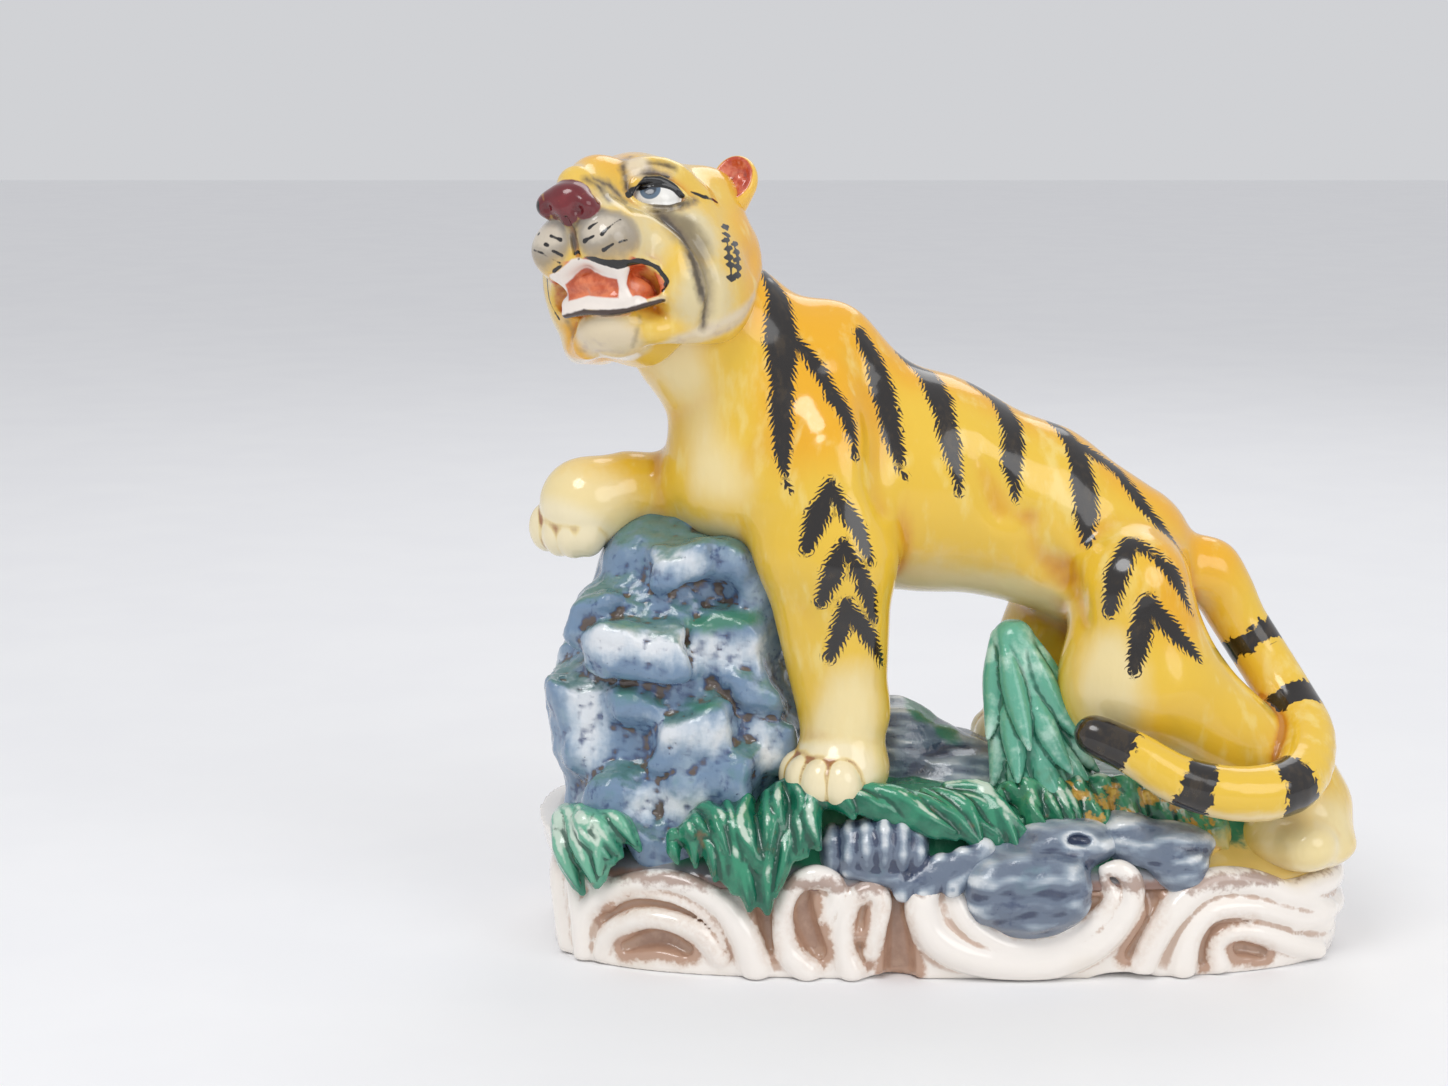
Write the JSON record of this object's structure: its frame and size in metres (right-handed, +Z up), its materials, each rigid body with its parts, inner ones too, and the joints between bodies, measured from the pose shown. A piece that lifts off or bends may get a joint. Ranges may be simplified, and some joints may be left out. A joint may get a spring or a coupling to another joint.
{
  "type": "ceramic tiger figurine",
  "caption": "Glazed ceramic tiger standing with one forepaw on a blue crag, head turned and jaws open, on an oval green ground over a cream plinth with scroll mouldings.",
  "frame": {"origin": "centre of the footprint on the table, at the middle of the bounding box's bottom face", "axes": "+X along the plinth from the tiger's head end to its tail end, +Y from the front to the back, +Z up"},
  "size_m": [0.2688, 0.1234, 0.2555],
  "materials": {
    "glaze_white": "gloss clear glaze over white body, brown wash in the recesses",
    "glaze_green": "gloss emerald glaze broken with white and brown",
    "glaze_blue": "gloss speckled blue-grey glaze worn to white on the ledges",
    "glaze_yellow": "gloss golden yellow glaze with black painted stripes",
    "glaze_red": "gloss orange-red glaze"
  },
  "bodies": {
    "root": {"plinth": "glaze_white", "front_left_scroll": "glaze_white", "ear_scrolls": "glaze_white", "cradle_scroll": "glaze_white", "front_right_scroll": "glaze_white", "left_end_scroll": "glaze_white", "right_end_scroll": "glaze_white", "back_left_scroll": "glaze_white", "back_middle_scroll": "glaze_white", "back_right_scroll": "glaze_white", "ground": "glaze_green", "front_grass": "glaze_green", "left_grass": "glaze_green", "right_grass": "glaze_green", "leafy_prop": "glaze_green", "crag": "glaze_blue", "cradle_stone": "glaze_blue", "ribbed_stone": "glaze_blue", "low_stone": "glaze_blue", "back_boulder": "glaze_blue", "torso": "glaze_yellow", "head": "glaze_yellow", "left_foreleg": "glaze_yellow", "right_foreleg": "glaze_yellow", "left_hind_leg": "glaze_yellow", "right_hind_leg": "glaze_yellow", "tail": "glaze_yellow", "left_ear": "glaze_red", "right_ear": "glaze_red"}
  },
  "joints": []
}
